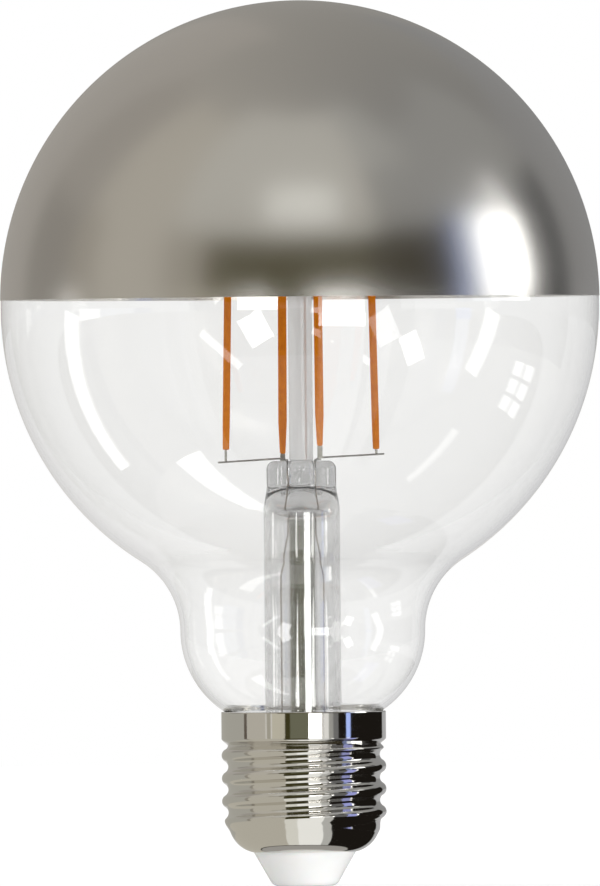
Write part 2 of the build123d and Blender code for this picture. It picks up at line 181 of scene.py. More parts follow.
def card(name, azimuths, elevations, colour, distance=1.9, strength=1.0, tilt=0, in_glass=False):
    """A curved sheet between two azimuths and two elevations, a wall or a light."""
    low, high = (radians(angle) for angle in elevations)
    left, right = (radians(angle) for angle in azimuths)
    form = bmesh.new()
    out = Vector((sin(left), -cos(left), 0))
    first = form.verts.new(CENTRE + distance * (out * cos(low) + Vector((0, 0, sin(low)))))
    bmesh.ops.spin(
        form,
        geom=[first],
        cent=CENTRE,
        axis=out.cross(Vector((0, 0, 1))),
        angle=high - low,
        steps=max(2, round((high - low) / ARC_STEP)),
    )
    bmesh.ops.spin(
        form,
        geom=form.verts[:] + form.edges[:],
        cent=CENTRE,
        axis=(0, 0, 1),
        angle=right - left,
        steps=max(2, round((right - left) / RING_STEP)),
    )
    if tilt:
        middle = Vector((sin((left + right) / 2), -cos((left + right) / 2), sin((low + high) / 2)))
        turned = Matrix.Rotation(radians(tilt), 3, middle)
        bmesh.ops.rotate(form, cent=CENTRE, matrix=turned, verts=form.verts[:])
    return hang(name, form, glow(name, colour, strength), in_glass)


# %% [markdown]
# The cards stand where the photograph's reflections say. The collar of the cap is a plain upright
# cylinder, so it reads like a strip chart of the room: each azimuth shows at half its angle. From
# left to right there is a warm grey wall with thin dark gaps, a dark olive patch straight ahead,
# two white strips, a darker grey, then a nearly black wall with a window in it. The satin crown
# shows the same room from the horizon up, blurred, with a soft light over the camera.

# %% Walls
card("wall_back_left", (-172, -150), (-50, -1.5), (0.6, 0.585, 0.57))
card("wall_back_left_top", (-172, -130), (-1.5, 60), (0.42, 0.4, 0.37))
card("wall_far_left", (-150, -91), (-50, -1.5), (0.4, 0.39, 0.35))
card("wall_far_left_top", (-130, -100), (-1.5, 22), (0.3, 0.285, 0.26))
card("wall_side_left", (-100, -86), (-1.5, 24), (0.38, 0.355, 0.31))
card("wall_side_left_top", (-130, -96), (22, 60), (0.37, 0.35, 0.32))
card("wall_high_left", (-96, -52), (24, 66), (0.5, 0.475, 0.42))
card("dark_gap", (-92, -86.5), (-50, -1.5), (0.12, 0.1, 0.08), distance=1.85)
card("wall_left", (-86, -55), (-50, 24), (0.5, 0.475, 0.42))
card("wall_mid_left", (-53, -47), (-50, 24), (0.4, 0.38, 0.32))
card("wall_near_left", (-45, -26), (-50, 1), (0.56, 0.53, 0.44))
card("wall_near_left_top", (-54, -37), (1, 30), (0.37, 0.345, 0.3))
card("olive_edge", (-26, -17), (-18, 2), (0.05, 0.045, 0.016), distance=1.85)
card("olive_foot", (-17, 7), (-18, -0.8), (0.17, 0.17, 0.115))
card("olive_patch", (-37, 28), (0.5, 22), (0.085, 0.075, 0.038))
card("olive_right", (28, 62), (0.5, 24), (0.05, 0.043, 0.026))
card("grey_right_top", (38, 126), (26, 60), (0.33, 0.33, 0.32))
card("grey_foot", (36, 53), (-13, -0.8), (0.22, 0.22, 0.21))
card("black_wall", (53, 126), (-11, -0.8), (0.012, 0.01, 0.008))
card("right_foot", (36, 126), (-62, -10), (0.5, 0.5, 0.49), distance=1.95)
card("dark_wall", (62, 126), (-0.8, 27), (0.11, 0.11, 0.11))
card("back_right_foot", (126, 172), (-50, -1.5), (0.45, 0.45, 0.46))
card("back_right", (126, 172), (-1.5, 34), (0.29, 0.29, 0.29))
print("walls stand at 1.85 to 1.95 metres")

# %% [markdown]
# The lights of the room are brighter than white paper. They clip to white in the metal, and they
# are strong enough to leave clear streaks and panes in the glass, which mirrors only a few parts in
# a hundred. The panes and bars below the horizon show in the front of the globe. The stem is seen
# through the slanted wall of the waist, which bends its view of the room a few degrees upwards, and
# the walls of the room don't show through glass. So inner cards repeat a strip and two dark walls a
# little higher, for reflections inside the globe alone. One pane is an inner card too, because it
# would otherwise shine in the collar.

# %% Lights
WHITE = (1.0, 1.0, 0.99)


def light(name, azimuths, elevations, strength, colour=WHITE, distance=1.8, tilt=0):
    """A card that also shows in the inner faces of the glass."""
    return card(name, azimuths, elevations, colour, distance, strength, tilt, in_glass=True)


def inner_card(name, azimuths, elevations, strength, colour=WHITE, distance=1.8, tilt=0):
    """A card that only the reflections inside the globe see."""
    light(name, azimuths, elevations, strength, colour, distance, tilt).visible_glossy = False


light("window_side", (62, 70), (0.5, 26), 1.0, (0.2, 0.25, 0.45))
light("window", (70, 99), (0.5, 26), 1.25, (0.82, 0.88, 1.0), distance=1.75)
light("window_core", (88, 99), (0.6, 22), 3.5, distance=1.7)
card("window_near", (78, 88), (0.6, 24), WHITE, distance=1.7, strength=3.0)
light("window_tail", (88, 99), (22, 33), 0.9, distance=1.7)
light("strip_one", (7, 25), (-7, -2.1), 6)
light("strip_one_top", (4, 12), (-2.1, -0.6), 3)
light("strip_one_foot", (8, 25), (-60, -7), 1.0)
light("strip_two", (28, 36), (-60, -2.1), 0.75)
light("blue_strip", (62, 69), (-4, -0.8), 1.2, (0.4, 0.52, 1.0))
light("blue_strip_foot", (62, 68), (-28, -4), 1.2, (0.8, 0.85, 1.0))
light("side_streak", (73, 80), (-21, -1), 3, tilt=-18)
light("side_streak_foot", (77, 82), (-58, -38), 1.8)
light("left_streak", (-106, -98), (-41, -0.5), 3, tilt=-12)
light("low_band", (-77, -59), (-80, -50), 4)
light("pane_a", (-22, -12), (-13.5, -2), 4, distance=1.7, tilt=28)
inner_card("pane_c", (28, 37.5), (-13.5, -1.5), 4, distance=1.7, tilt=28)
light("pane_d", (40.5, 48), (-20, -9), 4, distance=1.7, tilt=28)
light("bar_left", (-41, -21), (-16.8, -13.8), 2.5, tilt=-44)
light("bar_right", (3, 33), (-16.6, -14), 2.5, tilt=-28)
for column in range(2):
    for row in range(3):
        side = 95 + 7 * column
        top = -14 - 4.6 * row
        light(f"small_pane_{column}_{row}", (side, side + 5.6), (top - 3.6, top), 2.5)
light("soft_top", (-14, 17), (29, 43), 1.0, (0.92, 0.92, 0.88), distance=1.7)
inner_card("strip_in_glass", (7, 25), (-2.1, 4), 6)
inner_card("olive_in_glass", (-41, 7), (-60, 6), 1, (0.09, 0.085, 0.06), distance=1.95)
inner_card("grey_in_glass", (25, 45), (-60, 6), 1, (0.14, 0.14, 0.13), distance=1.95)
card("soft_top_spill", (-52, 33), (24, 74), (0.55, 0.54, 0.5), distance=1.8)
card("soft_top_right", (33, 60), (48, 76), (0.42, 0.42, 0.4), distance=1.8)
print("lights stand at 1.7 to 1.8 metres, the inner walls at 1.95")

# %% [markdown]
# A ring of small flags stands on the floor round the cap, too low for the globe to see. It keeps
# the globe's panes and streaks out of the metal, and gives the thread its own surroundings: beige on
# the left, a dark patch ahead, and black on the right with a blue streak before it. One row of flags
# is as high as the thread, and one above it faces the collar. The flags are so near that the collar
# sees each one up to 15 degrees further round than its azimuth says, so they stand that much nearer
# to the front than the walls they take the place of. Flat sheets at the floor, out to the feet of
# the flags, do the same for the downward face of the shoulder. A flag is one straight edge, upright
# or flat, that is spun round the lamp.

# %% Flags by the cap
WARM = (0.5, 0.475, 0.41)
BLACK = (0.012, 0.01, 0.008)
flag_r = 40
thread_level = (0, 22)
collar_level = (22, 30)
both_levels = (0, 30)
sheet_z = -0.02
FLAG_STEP = radians(5)


def flag(name, start, end, azimuths, colour, strength=1.0):
    """A small sheet from one (radius, height) to another, in millimetres."""
    left, right = (radians(angle) for angle in azimuths)
    form = bmesh.new()
    out = Vector((sin(left), -cos(left), 0))
    places = [reach * out + Vector((0, 0, height)) for reach, height in (start, end)]
    ends = [form.verts.new(MM * place) for place in places]
    edge = form.edges.new(ends)
    bmesh.ops.spin(
        form,
        geom=[*ends, edge],
        cent=(0, 0, 0),
        axis=(0, 0, 1),
        angle=right - left,
        steps=max(2, round((right - left) / FLAG_STEP)),
    )
    hang(name, form, glow(name, colour, strength), False)


def upright(name, heights, azimuths, colour, strength=1.0):
    """A flag that stands between two heights at the ring's own radius."""
    low, high = heights
    flag(name, (flag_r, low), (flag_r, high), azimuths, colour, strength)


upright("far_left_flag", both_levels, (-150, -79), (0.42, 0.41, 0.37))
upright("gap_flag", thread_level, (-79, -73.5), (0.3, 0.28, 0.24))
upright("left_flag", thread_level, (-73.5, -24), WARM)
upright("olive_flag", thread_level, (-24, 6), (0.05, 0.045, 0.018))
upright("olive_edge_flag", collar_level, (-22, -15.8), (0.05, 0.045, 0.016))
upright("olive_foot_flag", collar_level, (-15.8, 6), (0.16, 0.16, 0.11))
upright("pale_flag", collar_level, (24.2, 29.7), (0.85, 0.84, 0.82))
upright("mid_flag", collar_level, (29.7, 35.5), (0.37, 0.37, 0.35))
upright("dim_flag", collar_level, (35.5, 42), (0.18, 0.18, 0.18))
upright("edge_flag", collar_level, (42, 50), BLACK)
upright("grey_flag", thread_level, (36, 54), (0.14, 0.14, 0.14))
upright("blue_flag", thread_level, (54, 68), (0.42, 0.45, 0.9), 0.9)
upright("side_flag", collar_level, (59.9, 70), BLACK)
upright("black_flag", both_levels, (70, 126), BLACK)
for name, start, end, tone in (
    ("left", -180, -24, WARM),
    ("near_left", -24, -8, (0.75, 0.74, 0.68)),
    ("middle", -8, 24, (0.95, 0.95, 0.92)),
    ("near_right", 24, 36, (0.5, 0.5, 0.48)),
    ("right", 36, 134, BLACK),
    ("back", 134, 180, (0.45, 0.45, 0.45)),
):
    flag(f"under_{name}", (10.2, sheet_z), (flag_r, sheet_z), (start, end), tone)
flag("under_line", (9.8, sheet_z), (10.2, sheet_z), (-180, 180), (0.03, 0.028, 0.022))
flag("under_disc", (5.3, sheet_z), (9.8, sheet_z), (-180, 180), (0.36, 0.35, 0.33))
print("flags stand", flag_r, "mm from the axis")

# %% [markdown]
# One soft lamp stands to the right of the camera and lights the matt pieces. It has no part in the
# reflections, which the cards give, and it is weak: with the world it brings white plastic just
# under white, and it leaves the left side of the insulator in a light shade.

# %% Lamp
lamp_data = bpy.data.lights.new("soft_lamp", "AREA")
lamp_data.shape = "DISK"
lamp_data.size = 0.9
lamp_data.energy = 18
lamp = bpy.data.objects.new("soft_lamp", lamp_data)
lamp.location = (1.25, -1.35, 0.3)
lamp.rotation_euler = (CENTRE - lamp.location).to_track_quat("-Z", "Y").to_euler()
lamp.visible_glossy = False
lamp.visible_transmission = False
lamp.visible_camera = False
bpy.context.collection.objects.link(lamp)
print("lamp of", lamp_data.energy, "watts")

# %% [markdown]
# Behind the cards one grey shell closes the room above and another below, a little warmer and
# lighter on the left. Their colour runs with the place on the sheet, which a Separate XYZ and a Map
# Range node turn into a blend. They are what makes the crown a mid grey and not white.

# %% Room shells
blend_reach = 1.6


def room_shell(name, elevations, left_tone, right_tone):
    """One half of the closed room, blended from left to right."""
    shell = card(name, (-180, 180), elevations, left_tone, distance=2.2)
    tree = shell.data.materials[0].node_tree
    place = tree.nodes.new("ShaderNodeTexCoord")
    axes = tree.nodes.new("ShaderNodeSeparateXYZ")
    across = tree.nodes.new("ShaderNodeMapRange")
    across.inputs["From Min"].default_value = -blend_reach
    across.inputs["From Max"].default_value = blend_reach
    tone = tree.nodes.new("ShaderNodeMix")
    tone.data_type = "RGBA"
    tone.inputs[6].default_value = (*left_tone, 1)
    tone.inputs[7].default_value = (*right_tone, 1)
    tree.links.new(place.outputs["Object"], axes.inputs[0])
    tree.links.new(axes.outputs["X"], across.inputs["Value"])
    tree.links.new(across.outputs["Result"], tone.inputs[0])
    tree.links.new(tone.outputs[2], tree.nodes["Emission"].inputs["Color"])
    print(name, len(shell.data.polygons), "faces")


room_shell("room_above", (0, 90), (0.44, 0.42, 0.38), (0.24, 0.24, 0.235))
room_shell("room_below", (-90, 0), (0.7, 0.68, 0.64), (0.62, 0.61, 0.6))

# %% [markdown]
# The floor is a pale round sheet under the contact. It is matt, takes the lamp's shadow, and shines
# a little for the camera and through glass, which lifts it from the matt level to the white of the
# world, so no horizon shows behind the cap. Gloss sees the grey shell below instead, as in the
# photograph.

# %% Floor
floor_r = 1.6
floor_z = -0.05
floor_glow = 0.19
floor_form = bmesh.new()
bmesh.ops.create_circle(floor_form, cap_ends=True, segments=96, radius=floor_r)
bmesh.ops.translate(floor_form, verts=floor_form.verts[:], vec=(0, 0, floor_z * MM))
floor_mesh = bpy.data.meshes.new("floor")
floor_form.to_mesh(floor_mesh)
floor_form.free()
floor = bpy.data.objects.new("floor", floor_mesh)
bpy.context.collection.objects.link(floor)

floor_paint = bpy.data.materials.new("floor")
floor_paint.use_nodes = True
floor_tree = floor_paint.node_tree
floor_shader = floor_tree.nodes["Principled BSDF"]
floor_shader.inputs["Base Color"].default_value = (0.95, 0.95, 0.95, 1)
floor_shader.inputs["Roughness"].default_value = 1.0
floor_shader.inputs["Specular IOR Level"].default_value = 0.0
floor_path = floor_tree.nodes.new("ShaderNodeLightPath")
floor_lift = floor_tree.nodes.new("ShaderNodeMapRange")
floor_lift.inputs["To Min"].default_value = floor_glow
floor_lift.inputs["To Max"].default_value = 0.0
floor_tree.links.new(floor_path.outputs["Is Diffuse Ray"], floor_lift.inputs["Value"])
floor_shader.inputs["Emission Color"].default_value = (1, 1, 1, 1)
floor_tree.links.new(floor_lift.outputs["Result"], floor_shader.inputs["Emission Strength"])
only_in_gloss(floor_tree, floor_shader, floor_tree.nodes.new("ShaderNodeBsdfTransparent"))
floor_mesh.materials.append(floor_paint)
print("floor is", floor.dimensions.x, "metres across")

# %% [markdown]
# Every turned piece starts as a half outline in the XZ plane, radius to the right and height up. A
# lathe hand would grind it with two kinds of cut, a straight one and a round one, so there are two
# helpers: one draws a straight edge from the last point, and one spins the last point round a
# centre. Drawing with centres and angles keeps every join between two arcs smooth.

# %% Outline helpers


class Outline:
    """A half section that grows from its last point, in millimetres."""

    def __init__(self, radius, height):
        self.form = bmesh.new()
        self.last = self.form.verts.new((radius * MM, 0, height * MM))

    def line(self, radius, height, cuts=0):
        """A straight run to a point, cut into equal steps where it is to be shaped later."""
        end = Vector((radius * MM, 0, height * MM))
        way = end - self.last.co
        for _ in range(cuts + 1):
            added = bmesh.ops.extrude_vert_indiv(self.form, verts=[self.last])
            self.last = added["verts"][0]
            bmesh.ops.translate(self.form, verts=[self.last], vec=way / (cuts + 1))
        return self

    def arc(self, centre, turn, steps):
        """A round run about a centre; a positive turn is anticlockwise."""
        swung = bmesh.ops.spin(
            self.form,
            geom=[self.last],
            cent=(centre[0] * MM, 0, centre[1] * MM),
            axis=(0, -1, 0),
            angle=radians(turn),
            steps=steps,
        )
        self.last = next(end for end in swung["geom_last"] if isinstance(end, bmesh.types.BMVert))
        return self

    def spun(self, steps):
        """The whole outline turned round the lamp's axis, closed where its two ends merge."""
        bmesh.ops.remove_doubles(self.form, verts=self.form.verts[:], dist=1e-7)
        bmesh.ops.spin(
            self.form,
            geom=self.form.verts[:] + self.form.edges[:],
            cent=(0, 0, 0),
            axis=(0, 0, 1),
            angle=2 * pi,
            steps=steps,
            use_merge=True,
        )
        bmesh.ops.remove_doubles(self.form, verts=self.form.verts[:], dist=1e-7)
        bmesh.ops.recalc_face_normals(self.form, faces=self.form.faces[:])
        return self.form


def angle_to(start, end):
    """The direction from one point of a section to another, in degrees."""
    return degrees(atan2(end[1] - start[1], end[0] - start[0]))


# %% [markdown]
# Each finished form becomes a smooth-shaded object that rides on the lamp's one body and hides
# the node of the frame that it stands for.

# %% Finish a piece


def finish_piece(name, form, material, node):
    """Turn a bmesh into a lamp piece that stands for a node."""
    mesh = bpy.data.meshes.new(name)
    form.to_mesh(mesh)
    form.free()
    mesh.shade_smooth()
    mesh.set_sharp_from_angle(angle=radians(35))
    mesh.materials.append(material)
    piece = bpy.data.objects.new(name, mesh)
    bpy.context.collection.objects.link(piece)
    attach(piece, "root")
    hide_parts(node)
    print(name, len(mesh.polygons), "faces")


# %% [markdown]
# A finish is a Principled shader with patterns wired into it. The first helper makes the bare
# shader, and each of the others adds one kind of fault that real surfaces have: a grain in the
# relief, an uneven sheen, or a drift in the colour. All patterns read Object coordinates, so they
# sit still on the piece from every side. A noise keeps mostly between 0.3 and 0.7, so a drift
# spreads that span over its two ends. Glass has a helper of its own, whose tone runs from face on to
# the rim, and the last two helpers let a value or the colour change with the height.

# %% Finish helpers
NOISE_LOW = 0.3
NOISE_HIGH = 0.7


def finish(name, colour, roughness, metallic=0.0):
    """A Principled material with its plain values set."""
    material = bpy.data.materials.new(name)
    material.use_nodes = True
    shader = material.node_tree.nodes["Principled BSDF"]
    shader.inputs["Base Color"].default_value = (*colour, 1)
    shader.inputs["Roughness"].default_value = roughness
    shader.inputs["Metallic"].default_value = metallic
    return material


def noise(material, size, detail=3.0, stretch=(1, 1, 1)):
    """A noise pattern whose blotches are about size millimetres across."""
    tree = material.node_tree
    place = tree.nodes.new("ShaderNodeTexCoord")
    fit = tree.nodes.new("ShaderNodeMapping")
    fit.inputs["Scale"].default_value = stretch
    pattern = tree.nodes.new("ShaderNodeTexNoise")
    pattern.inputs["Scale"].default_value = 1 / (size * MM)
    pattern.inputs["Detail"].default_value = detail
    tree.links.new(place.outputs["Object"], fit.inputs["Vector"])
    tree.links.new(fit.outputs["Vector"], pattern.inputs["Vector"])
    return pattern.outputs["Fac"]


def relief(material, pattern, height):
    """Add a pattern to the surface as bumps of a height in millimetres."""
    tree = material.node_tree
    bump = tree.nodes.new("ShaderNodeBump")
    bump.inputs["Distance"].default_value = height * MM
    bump.inputs["Strength"].default_value = 1.0
    tree.links.new(pattern, bump.inputs["Height"])
    normal = tree.nodes["Principled BSDF"].inputs["Normal"]
    if normal.links:
        tree.links.new(normal.links[0].from_socket, bump.inputs["Normal"])
    tree.links.new(bump.outputs["Normal"], normal)


def sheen_drift(material, pattern, low, high):
    """Let the roughness wander between two values."""
    tree = material.node_tree
    spread = tree.nodes.new("ShaderNodeMapRange")
    spread.inputs["From Min"].default_value = NOISE_LOW
    spread.inputs["From Max"].default_value = NOISE_HIGH
    spread.inputs["To Min"].default_value = low
    spread.inputs["To Max"].default_value = high
    tree.links.new(pattern, spread.inputs["Value"])
    tree.links.new(spread.outputs["Result"], tree.nodes["Principled BSDF"].inputs["Roughness"])


def colour_drift(material, pattern, dark, light):
    """Let the colour wander between two tones."""
    tree = material.node_tree
    ramp = tree.nodes.new("ShaderNodeValToRGB")
    ramp.color_ramp.elements[0].position = NOISE_LOW
    ramp.color_ramp.elements[0].color = (*dark, 1)
    ramp.color_ramp.elements[1].position = NOISE_HIGH
    ramp.color_ramp.elements[1].color = (*light, 1)
    tree.links.new(pattern, ramp.inputs["Fac"])
    tree.links.new(ramp.outputs["Color"], tree.nodes["Principled BSDF"].inputs["Base Color"])


def glass(name, clear, rim, rim_from):
    """Soda glass with one tone face on and another where the eye looks along the wall."""
    material = finish(name, clear, 0.0)
    tree = material.node_tree
    shader = tree.nodes["Principled BSDF"]
    shader.inputs["Transmission Weight"].default_value = 1.0
    shader.inputs["IOR"].default_value = 1.52
    facing = tree.nodes.new("ShaderNodeLayerWeight")
    facing.inputs["Blend"].default_value = 0.5
    ramp = tree.nodes.new("ShaderNodeValToRGB")
    ramp.color_ramp.elements[0].position = rim_from
    ramp.color_ramp.elements[0].color = (*clear, 1)
    ramp.color_ramp.elements[1].position = 1.0
    ramp.color_ramp.elements[1].color = (*rim, 1)
    tree.links.new(facing.outputs["Facing"], ramp.inputs["Fac"])
    tree.links.new(ramp.outputs["Color"], shader.inputs["Base Color"])
    return material


def by_height(material, low, high, below, above):
    """A value that runs from one to another between two heights in millimetres."""
    tree = material.node_tree
    place = tree.nodes.new("ShaderNodeTexCoord")
    axes = tree.nodes.new("ShaderNodeSeparateXYZ")
    rise = tree.nodes.new("ShaderNodeMapRange")
    rise.inputs["From Min"].default_value = low * MM
    rise.inputs["From Max"].default_value = high * MM
    rise.inputs["To Min"].default_value = below
    rise.inputs["To Max"].default_value = above
    tree.links.new(place.outputs["Object"], axes.inputs[0])
    tree.links.new(axes.outputs["Z"], rise.inputs["Value"])
    return rise.outputs["Result"]


def shade_above(material, low, high, share):
    """Darken the colour to a share of itself above a height in millimetres."""
    tree = material.node_tree
    dimmed = tree.nodes.new("ShaderNodeVectorMath")
    dimmed.operation = "SCALE"
    colour = tree.nodes["Principled BSDF"].inputs["Base Color"]
    tree.links.new(colour.links[0].from_socket, dimmed.inputs[0])
    tree.links.new(by_height(material, low, high, 1.0, share), dimmed.inputs["Scale"])
    tree.links.new(dimmed.outputs["Vector"], colour)


# %% [markdown]
# The globe is one blown bulb: a sphere that necks down through a waist into a rounder bulge, and a
# short throat that is sealed to the stem inside the cap. The outline is drawn twice, once outside
# and once inside the wall, so the glass is a true closed shell and bends light as a hollow bulb
# does. A solid ball would turn the strips upside down. Face on, the glass takes a little of the
# light. At the rim, where a ray goes through the wall more often, it is given nearly no tint, or the
# rim would come out darker than on a real globe.

# %% Globe outline
globe_r = 47.4
neck_r = 19.4
waist_r = 13.2
bulge_r = 15.3
throat_r = 3.0
seal_r = 11.2
glass_t = 0.8
belt_h = 1.3
throat_steps = 14
bulge_steps = 30
waist_steps = 24
globe_steps = 40
dome_steps = 48
globe_turn_steps = 256
seal_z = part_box("glass_envelope")[0].z / MM
dome_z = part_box("glass_envelope")[1].z / MM - globe_r
globe_z = dome_z - belt_h
waist_z = globe_z - sqrt((globe_r + waist_r) ** 2 - (neck_r + waist_r) ** 2)
bulge = (neck_r - bulge_r, waist_z)
throat_x = seal_r + throat_r
throat = (throat_x, waist_z - sqrt((bulge_r + throat_r) ** 2 - (throat_x - bulge[0]) ** 2))
waist = (neck_r + waist_r, waist_z)
into_bulge = angle_to(throat, bulge)
into_globe = angle_to(waist, (0, globe_z))
print(f"globe {globe_z:.2f}, waist {waist_z:.2f}, throat {throat[1]:.2f}, seal {seal_z:.2f}")

# %% Glass envelope
wall = Outline(seal_r - glass_t, seal_z).line(seal_r, seal_z).line(seal_r, throat[1])
wall.arc(throat, into_bulge - 180, throat_steps)
wall.arc(bulge, 180 - into_bulge, bulge_steps)
wall.arc(waist, into_globe - 180, waist_steps)
wall.arc((0, globe_z), 180 - into_globe, globe_steps)
wall.line(globe_r, dome_z).arc((0, dome_z), 90, dome_steps)
wall.line(0, dome_z + globe_r - glass_t).arc((0, dome_z), -90, dome_steps)
wall.line(globe_r - glass_t, globe_z).arc((0, globe_z), into_globe - 180, globe_steps)
wall.arc(waist, 180 - into_globe, waist_steps)
wall.arc(bulge, into_bulge - 180, bulge_steps)
wall.arc(throat, 180 - into_bulge, throat_steps)
wall.line(seal_r - glass_t, seal_z)
envelope_glass = glass("clear_glass", (0.967, 0.967, 0.962), (0.995, 0.995, 0.99), rim_from=0.2)
relief(envelope_glass, noise(envelope_glass, 30, detail=0.0), 0.001)
globe_form = wall.spun(globe_turn_steps)
finish_piece("glass_globe", globe_form, envelope_glass, "glass_envelope")

# %% [markdown]
# The crown is silvered by vapour, which settles as a satin skin: it mirrors the room, but blurred,
# with a fine sparkle where the grains catch the light. So the metal has a middling roughness that
# drifts a little in wide blotches, and a relief as fine as the grain. The skin is a thin shell that
# stands just off the glass. Its outline ends 0.0002 mm from where it began, which is more than the
# merge takes up, so a hairline seam stays open at its lower inner edge and its inner side faces
# outwards. One more straight run back to the first point, as the glass has, would close it.

# %% Mirrored crown
coat_t = 0.1
coat_gap = 0.005
coat_edge = 0.3
coat_steps = 72
coat_low = degrees(coat_edge / globe_r)
skin_in = globe_r + coat_gap
skin_out = globe_r + coat_t
low_turn = radians(coat_low)
skin = Outline(skin_in * cos(low_turn), dome_z + skin_in * sin(low_turn))
skin.line(skin_out * cos(low_turn), dome_z + skin_out * sin(low_turn))
skin.arc((0, dome_z), 90 - coat_low, coat_steps)
skin.line(0, dome_z + skin_in)
skin.arc((0, dome_z), coat_low - 90, coat_steps)
silver = finish("mirror_silver", (0.74, 0.72, 0.69), 0.2, 1.0)
sheen_drift(silver, noise(silver, 20), 0.24, 0.27)
relief(silver, noise(silver, 0.35, detail=2.0), 0.004)
crown_form = skin.spun(globe_turn_steps)
finish_piece("mirrored_crown", crown_form, silver, "mirror_coating")

# %% [markdown]
# The screw cap is thin nickel-plated sheet, drawn to a cup and then rolled between dies that press
# the thread into it. The lathe gives the cup: a rounded end, the wall and the wider collar, with an
# outer and an inner face. The wall gets many rows, and then every point of it is moved outwards by
# the height of the thread at its angle and height, as the rolling dies do. The crest and the root
# are two arcs of one radius that meet smoothly.

# %% Thread shape
thread_pitch = 3.629
crest_r = 13.02
root_r = 12.0
sheet_t = 0.3
lip_r = 8.2
lip_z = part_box("cap_shell")[0].z / MM
cap_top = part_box("cap_shell")[1].z / MM
collar_r = 13.05
collar_h = 4.7
collar_z = cap_top - collar_h
core_r = 12.03
shoulder_r = 4.9
shoulder_x = core_r - shoulder_r
shoulder_z = lip_z + sqrt(shoulder_r**2 - (lip_r - shoulder_x) ** 2)
quarter = thread_pitch / 4
half_depth = (crest_r - root_r) / 2
round_r = (quarter**2 + half_depth**2) / (2 * half_depth)
helix_z = shoulder_z - thread_pitch / 2 - sheet_t
run_in = (shoulder_z - 2.2, shoulder_z + 1.6)
run_out = (collar_z - 1.4, collar_z - 0.2)
collar_rise = (collar_z - 0.75, collar_z + 0.45)


def smooth_step(low, high, value):
    """Zero below low, one above high, and a soft rise between."""
    share = min(1.0, max(0.0, (value - low) / (high - low)))
    return share * share * (3 - 2 * share)


def thread_lift(angle, height):
    """How far the rolled thread stands out of the plain wall, in millimetres."""
    turns = (height - helix_z) / thread_pitch - angle / (2 * pi)
    off = abs(turns - round(turns)) * thread_pitch
    if off < quarter:
        lift = 2 * half_depth - round_r + sqrt(round_r**2 - off**2)
    else:
        lift = round_r - sqrt(round_r**2 - (2 * quarter - off) ** 2)
    starts = smooth_step(*run_in, height)
    ends = 1 - smooth_step(*run_out, height)
    return lift * starts * ends


def collar_lift(height):
    """How far the collar stands out, with a soft round into the first groove."""
    return (collar_r - core_r) * smooth_step(*collar_rise, height)


print(f"crest and root arcs of {round_r:.2f} mm, first turn at {helix_z:.2f}")

# %% Screw cap
lip_turn = angle_to((shoulder_x, shoulder_z), (lip_r, lip_z))
brim = 0.12
outer_rows = 131
inner_rows = 80
cap_turn_steps = 240
cup = Outline(lip_r, lip_z)
cup.arc((shoulder_x, shoulder_z), -lip_turn, 22)
cup.line(core_r, cap_top - brim, cuts=outer_rows)
cup.arc((core_r - brim, cap_top - brim), 90, 4)
cup.line(core_r - sheet_t, cap_top)
cup.line(core_r - sheet_t, shoulder_z, cuts=inner_rows)
cup.arc((shoulder_x, shoulder_z), lip_turn, 12)
cup.line(lip_r, lip_z)
shell = cup.spun(cap_turn_steps)
for point in shell.verts:
    height = point.co.z / MM
    reach = hypot(point.co.x, point.co.y) / MM
    rolled = thread_lift(atan2(point.co.y, point.co.x), height)
    point.co.xy *= 1 + max(rolled, collar_lift(height)) / reach
nickel = finish("cap_nickel", (0.8, 0.785, 0.75), 0.06, 1.0)
sheen_drift(nickel, noise(nickel, 3), 0.045, 0.1)
relief(nickel, noise(nickel, 2.5, detail=1.0, stretch=(1, 1, 0.35)), 0.006)
finish_piece("screw_cap", shell, nickel, "cap_shell")

# %% [markdown]
# The insulator is a moulded cone of glossy white plastic that is snapped into the cap's open end
# from inside. Only the cone shows; its foot has a soft rounded edge, and its flange hides behind
# the shell's lip.

# %% Insulator
foot_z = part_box("cap_insulator")[0].z / MM
flange_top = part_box("cap_insulator")[1].z / MM
foot_r = 5.0
throat_in = lip_r - 0.1
land_h = 0.5
flange_r = core_r - 1.8
flange_t = 1.0
shank_r = 1.0
slope = atan2(lip_z - foot_z, throat_in - foot_r)
edge_r = 1.5
edge_x = foot_r - edge_r * (1 - cos(slope)) / sin(slope)
cone = Outline(shank_r, flange_top).line(shank_r, foot_z).line(edge_x, foot_z)
cone.arc((edge_x, foot_z + edge_r), degrees(slope), 12)
cone.line(throat_in, lip_z, cuts=5).line(throat_in, lip_z + land_h)
cone.line(flange_r, flange_top - flange_t).line(flange_r, flange_top).line(shank_r, flange_top)
white = finish("insulator_white", (0.93, 0.93, 0.915), 0.16)
white_shader = white.node_tree.nodes["Principled BSDF"]
white_shader.inputs["Subsurface Weight"].default_value = 0.1
white_shader.inputs["Subsurface Scale"].default_value = 0.5 * MM
relief(white, noise(white, 2.5), 0.006)
colour_drift(white, noise(white, 4), (0.92, 0.92, 0.905), (0.95, 0.95, 0.94))
finish_piece("insulator", cone.spun(96), white, "cap_insulator")

# %% [markdown]
# The contact is a tinned rivet: a flat head with a rounded rim and the small dimple of the tool
# that closed it, and a shank up through the insulator.

